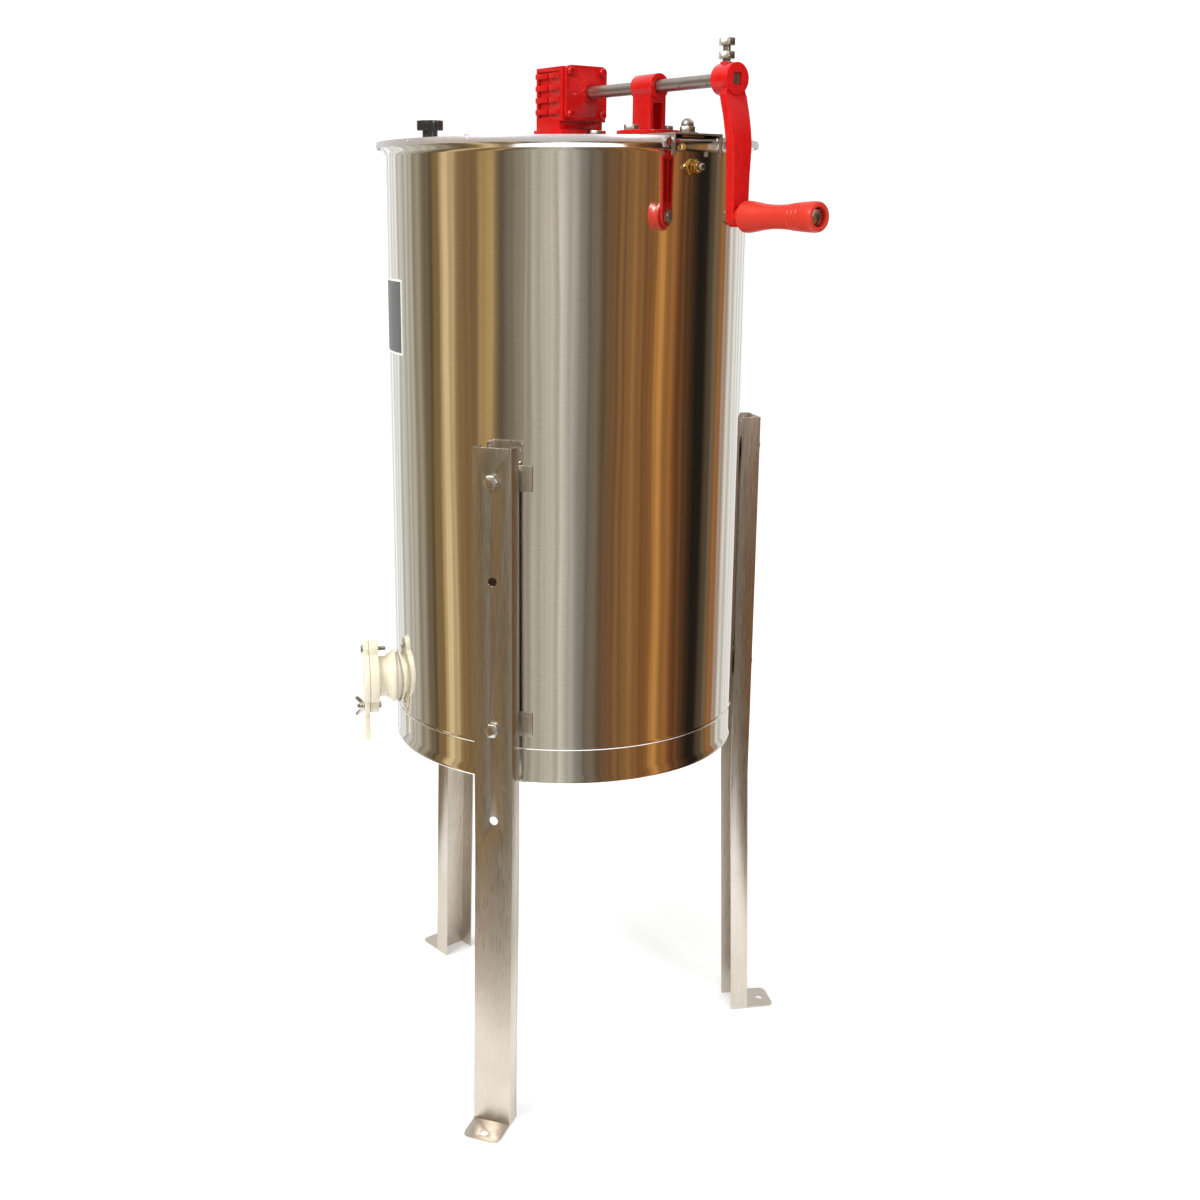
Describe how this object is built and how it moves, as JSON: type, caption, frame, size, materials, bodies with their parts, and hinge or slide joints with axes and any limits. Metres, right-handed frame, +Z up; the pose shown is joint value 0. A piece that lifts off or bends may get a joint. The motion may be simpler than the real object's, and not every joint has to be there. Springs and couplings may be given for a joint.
{
  "type": "honey extractor",
  "caption": "Hand-cranked honey extractor: polished steel drum on splayed legs, bevel-gear crank on a crossbar, half lids, framed reel inside and a plastic honey gate.",
  "frame": {"origin": "on the floor, under the drum axis, at the centre of the foot bolt circle", "axes": "+Z up along the drum axis, +X along the crossbar towards the crank"},
  "size_m": [0.5974, 0.4533, 1.0736],
  "materials": {
    "polished_steel": "mirror-polished stainless sheet",
    "drum_floor_steel": "mill-finish stainless sheet",
    "label": "printed film label, dark with a pale border",
    "leg_steel": "satin stainless sheet",
    "lid_steel": "bright stainless sheet",
    "bar_steel": "satin stainless sheet",
    "fastener_steel": "bright stainless",
    "brass": "turned brass",
    "red_casting": "glossy red paint on a casting",
    "bronze": "sintered bronze",
    "shaft_steel": "ground steel bar",
    "gear_steel": "machined steel, oiled",
    "grip_plastic": "moulded orange-red plastic",
    "reel_steel": "welded stainless wire",
    "black_plastic": "moulded black phenolic",
    "gate_plastic": "moulded cream plastic",
    "seal_rubber": "soft white food-grade rubber"
  },
  "bodies": {
    "root": {"drum_shell": "polished_steel", "drum_floor": "drum_floor_steel", "pivot_cup": "drum_floor_steel", "label_plate": "label", "leg_right": "leg_steel", "leg_rear": "leg_steel", "leg_left": "leg_steel", "upper_brackets": "leg_steel", "lower_brackets": "leg_steel", "leg_bolts": "fastener_steel", "leg_nuts": "fastener_steel", "crossbar": "bar_steel", "crossbar_anchors": "bar_steel", "anchor_studs": "fastener_steel", "dome_nuts": "fastener_steel", "wall_spacers": "brass", "wall_screws": "fastener_steel", "brass_wall_nuts": "brass", "lid_hinge_pins": "fastener_steel", "crossbar_bolts": "fastener_steel", "crossbar_nuts": "fastener_steel", "gearbox_housing": "red_casting", "gearbox_cover": "red_casting", "cover_screws": "fastener_steel", "bearing_pedestal": "red_casting", "input_bushes": "bronze", "pedestal_bush": "bronze", "output_bush": "bronze", "gate_body": "gate_plastic", "gate_seals": "seal_rubber", "gate_lock_nut": "gate_plastic", "gate_screws": "fastener_steel"},
    "crank": {"input_shaft": "shaft_steel", "drive_gear": "gear_steel", "crank_arm": "red_casting", "crank_set_screw": "fastener_steel", "crank_jam_nut": "fastener_steel", "grip_washer": "fastener_steel", "grip_bolt": "fastener_steel", "grip_nut": "fastener_steel"},
    "grip": {"handle_grip": "grip_plastic"},
    "reel": {"output_shaft": "shaft_steel", "pinion_gear": "gear_steel", "shaft_coupling": "shaft_steel", "coupling_pins": "fastener_steel", "reel_shaft": "shaft_steel", "pivot_ball": "fastener_steel", "reel_spiders": "reel_steel", "basket_a": "reel_steel", "basket_b": "reel_steel", "basket_screens": "reel_steel"},
    "lid_a": {"lid_a": "lid_steel", "knob_a": "black_plastic", "knob_screw_a": "fastener_steel"},
    "lid_b": {"lid_b": "lid_steel", "knob_b": "black_plastic", "knob_screw_b": "fastener_steel"},
    "shutter": {"gate_shutter": "gate_plastic"},
    "wing_nut": {"wing_nut": "fastener_steel"}
  },
  "joints": [
    {"name": "crank_turn", "type": "hinge", "parent": "root", "child": "crank", "pos_m": [0.1, 0, 1.038], "axis": [1, 0, 0], "continuous": true},
    {"name": "grip_spin", "type": "hinge", "parent": "crank", "child": "grip", "pos_m": [0.3, 0, 0.918], "axis": [1, 0, 0], "continuous": true},
    {"name": "reel_spin", "type": "hinge", "parent": "root", "child": "reel", "pos_m": [0, 0, 0.7], "axis": [0, 0, 1], "continuous": true},
    {"name": "lid_a_open", "type": "hinge", "parent": "root", "child": "lid_a", "pos_m": [0, 0.0375, 0.9845], "axis": [1, 0, 0], "range_deg": [0, 91]},
    {"name": "lid_b_open", "type": "hinge", "parent": "root", "child": "lid_b", "pos_m": [0, -0.0375, 0.9845], "axis": [-1, 0, 0], "range_deg": [0, 91]},
    {"name": "gate_swing", "type": "hinge", "parent": "root", "child": "shutter", "pos_m": [-0.10235, -0.19248, 0.4616], "axis": [-0.4695, -0.8829, 0], "range_deg": [0, 100]},
    {"name": "wing_nut_turn", "type": "hinge", "parent": "root", "child": "wing_nut", "pos_m": [-0.10516, -0.19778, 0.3975], "axis": [-0.4695, -0.8829, 0], "range_deg": [0, 450]}
  ],
  "couplings": [
    {"joint": "crank_turn", "follows": "reel_spin", "ratio": 0.5}
  ]
}
